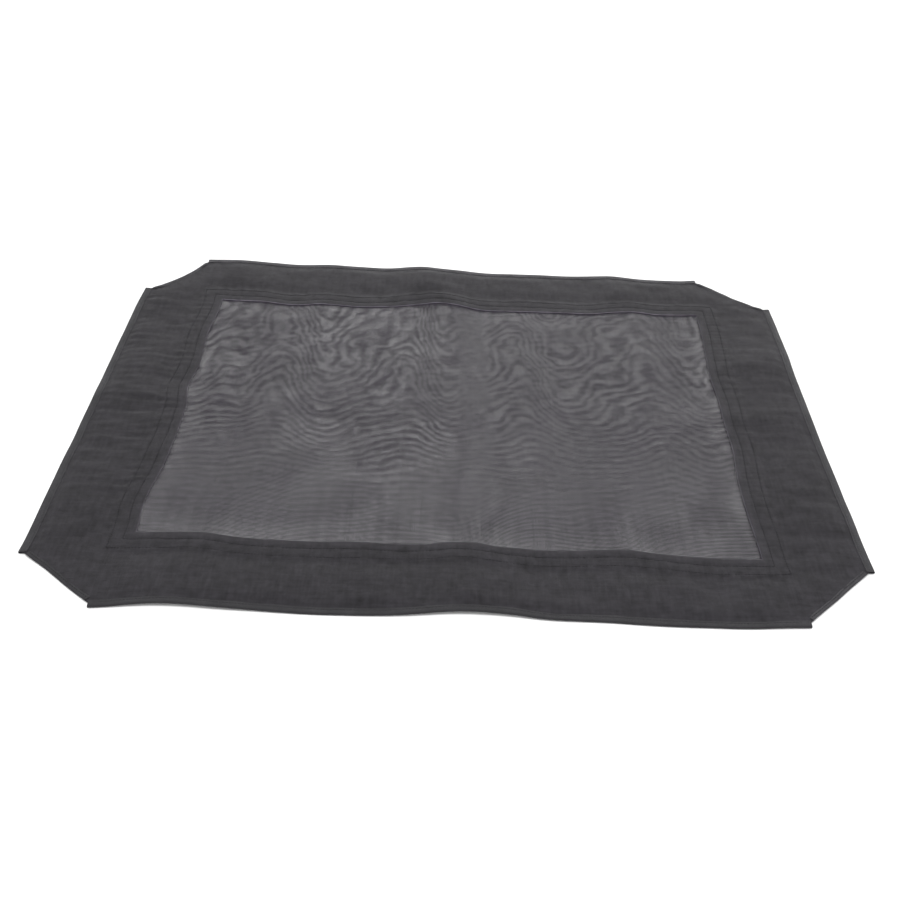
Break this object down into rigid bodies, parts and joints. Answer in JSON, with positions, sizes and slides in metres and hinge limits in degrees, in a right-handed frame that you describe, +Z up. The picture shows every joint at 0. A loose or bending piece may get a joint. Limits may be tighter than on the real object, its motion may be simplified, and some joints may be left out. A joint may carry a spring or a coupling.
{
  "type": "pet cot cover",
  "caption": "Flat sling cover of a raised dog bed: see-through mesh panel in a dark woven border with bevelled corners and a frame pocket under each side.",
  "frame": {"origin": "middle of the footprint, on the surface the cover lies on", "axes": "+X along the long sides, +Y from front to back, +Z up"},
  "size_m": [0.813, 0.635, 0.0082],
  "materials": {
    "mesh": "open plain-weave coated polyester mesh, mid grey",
    "border_cloth": "matte heavy woven polyester, charcoal",
    "pocket_cloth": "matte heavy woven polyester, charcoal, coated face down",
    "binding_tape": "ribbed woven tape, charcoal",
    "thread": "polyester sewing thread, near black"
  },
  "bodies": {
    "root": {"mesh_panel": "mesh", "front_border_panel": "border_cloth", "back_border_panel": "border_cloth", "left_border_panel": "border_cloth", "right_border_panel": "border_cloth", "front_pocket_panel": "pocket_cloth", "back_pocket_panel": "pocket_cloth", "left_pocket_panel": "pocket_cloth", "right_pocket_panel": "pocket_cloth", "front_edge_binding": "binding_tape", "back_edge_binding": "binding_tape", "left_edge_binding": "binding_tape", "right_edge_binding": "binding_tape", "front_left_corner_binding": "binding_tape", "front_right_corner_binding": "binding_tape", "back_right_corner_binding": "binding_tape", "back_left_corner_binding": "binding_tape", "window_stitching_inner": "thread", "window_stitching_outer": "thread", "edge_stitching": "thread", "corner_stitching": "thread", "pocket_mouth_stitching": "thread"}
  },
  "joints": []
}
